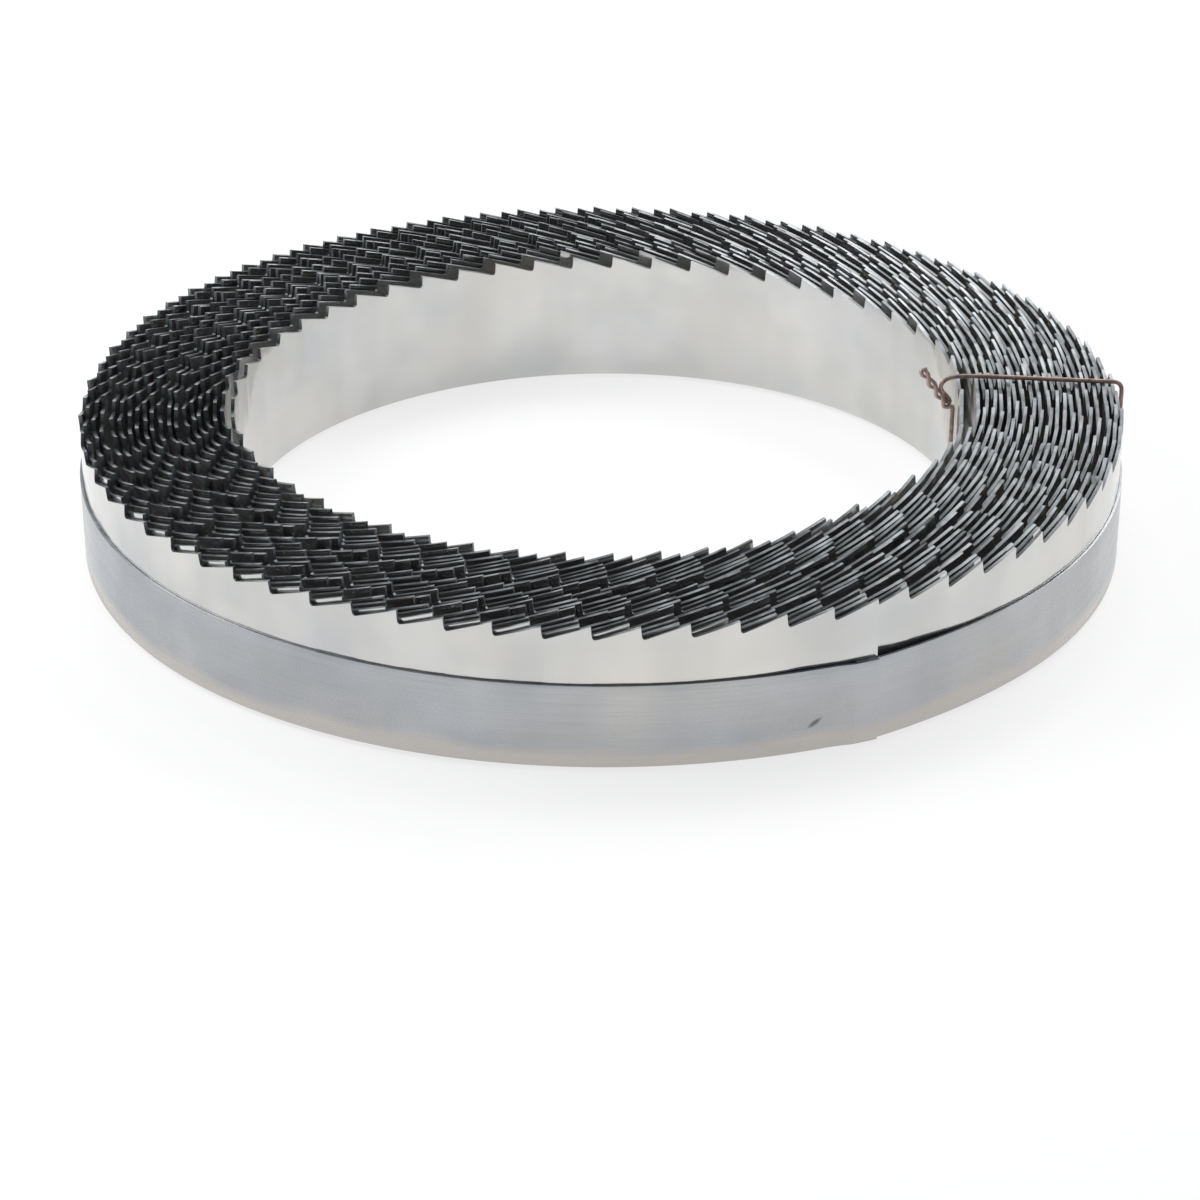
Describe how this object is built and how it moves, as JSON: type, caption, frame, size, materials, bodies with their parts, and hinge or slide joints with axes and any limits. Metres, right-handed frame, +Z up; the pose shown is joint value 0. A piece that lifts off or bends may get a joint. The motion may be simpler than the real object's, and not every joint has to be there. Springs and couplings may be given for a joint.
{
  "type": "band saw blade",
  "caption": "Flat roll of toothed band saw blade strip lying teeth up, with a plain steel band round its outside and a twisted tie wire round its section.",
  "frame": {"origin": "centre of the roll, at the level of the surface it lies on", "axes": "+Z up along the axis of the roll, towards the tooth tips; +X towards the side where the tie wire is"},
  "size_m": [0.1523, 0.152, 0.0235],
  "materials": {
    "blade_steel": "polished strip with dark oxide on the tooth edges",
    "band_steel": "bright cold rolled strip, a shade darker than the blade",
    "annealed_wire": "matte, rusty brown"
  },
  "bodies": {
    "root": {"blade_coil": "blade_steel", "outer_band": "band_steel", "tie_wire": "annealed_wire"}
  },
  "joints": []
}
